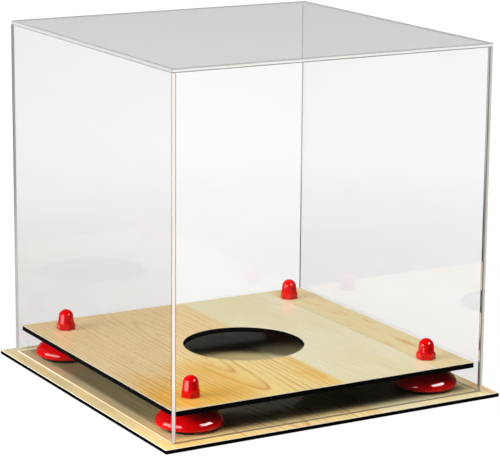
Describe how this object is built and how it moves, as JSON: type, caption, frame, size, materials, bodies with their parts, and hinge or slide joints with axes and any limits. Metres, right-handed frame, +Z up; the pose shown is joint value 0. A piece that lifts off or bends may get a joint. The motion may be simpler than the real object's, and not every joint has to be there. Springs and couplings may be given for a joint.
{
  "type": "display case",
  "caption": "Ball display case: a clear box cover over a wood-grain base with a raised deck on domed risers, bolted through and finished with nut caps.",
  "frame": {"origin": "centre of the base plate's underside, on the surface the case stands on", "axes": "+Z up, the front is the -Y side, +X to the right seen from the front"},
  "size_m": [0.272, 0.272, 0.2573],
  "materials": {
    "black_sheet": "polished",
    "wood_laminate": "satin wood-grain laminate",
    "red_plastic": "glossy moulded",
    "black_disc": "satin moulded",
    "zinc_steel": "zinc plated",
    "clear_sheet": "clear, polished"
  },
  "bodies": {
    "base": {"base_plate": "black_sheet", "base_wood_film": "wood_laminate", "deck_plate": "black_sheet", "deck_wood_film": "wood_laminate", "riser_front_left": "red_plastic", "riser_front_right": "red_plastic", "riser_back_left": "red_plastic", "riser_back_right": "red_plastic", "riser_foot_front_left": "black_disc", "riser_foot_front_right": "black_disc", "riser_foot_back_left": "black_disc", "riser_foot_back_right": "black_disc", "screw_front_left": "zinc_steel", "screw_front_right": "zinc_steel", "screw_back_left": "zinc_steel", "screw_back_right": "zinc_steel", "nut_front_left": "zinc_steel", "nut_front_right": "zinc_steel", "nut_back_left": "zinc_steel", "nut_back_right": "zinc_steel"},
    "cover": {"cover_top": "clear_sheet", "cover_front": "clear_sheet", "cover_back": "clear_sheet", "cover_left": "clear_sheet", "cover_right": "clear_sheet"},
    "cap_front_left": {"nut_cap_front_left": "red_plastic"},
    "cap_front_right": {"nut_cap_front_right": "red_plastic"},
    "cap_back_left": {"nut_cap_back_left": "red_plastic"},
    "cap_back_right": {"nut_cap_back_right": "red_plastic"}
  },
  "joints": [
    {"name": "cover_lift", "type": "slide", "parent": "base", "child": "cover", "axis": [0, 0, 1], "range_m": [0, 0.26]},
    {"name": "cap_pull_front_left", "type": "slide", "parent": "base", "child": "cap_front_left", "axis": [0, 0, 1], "range_m": [0, 0.02]},
    {"name": "cap_pull_front_right", "type": "slide", "parent": "base", "child": "cap_front_right", "axis": [0, 0, 1], "range_m": [0, 0.02]},
    {"name": "cap_pull_back_left", "type": "slide", "parent": "base", "child": "cap_back_left", "axis": [0, 0, 1], "range_m": [0, 0.02]},
    {"name": "cap_pull_back_right", "type": "slide", "parent": "base", "child": "cap_back_right", "axis": [0, 0, 1], "range_m": [0, 0.02]}
  ]
}
